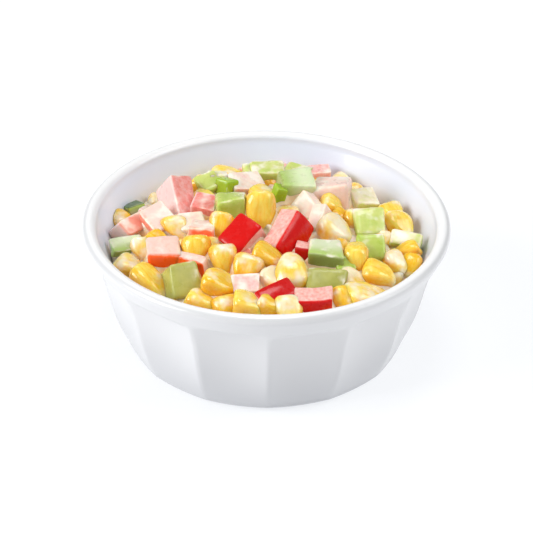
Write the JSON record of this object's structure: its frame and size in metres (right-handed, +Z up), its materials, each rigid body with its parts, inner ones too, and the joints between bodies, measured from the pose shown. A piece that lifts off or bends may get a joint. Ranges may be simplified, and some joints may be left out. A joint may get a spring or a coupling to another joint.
{
  "type": "bowl of corn salad",
  "caption": "Small round fluted white porcelain bowl heaped with creamy sweetcorn salad: diced pepper, cucumber, celery, pickle, ham and crab stick.",
  "frame": {"origin": "centre of the foot ring, on the surface the bowl stands on", "axes": "+Z up through the middle of the bowl; -Y is the near side, towards which the food is arranged; +X to the right"},
  "size_m": [0.12, 0.12, 0.0516],
  "materials": {
    "porcelain": "gloss",
    "salad": "moist, creamy",
    "dressing": "creamy gloss",
    "sweetcorn": "moist gloss",
    "red_pepper": "waxy gloss",
    "cucumber": "moist",
    "celery": "moist",
    "pickle": "moist",
    "crab_stick": "moist, fibrous",
    "ham": "moist"
  },
  "bodies": {
    "root": {"bowl": "porcelain", "salad": "salad"}
  },
  "joints": []
}
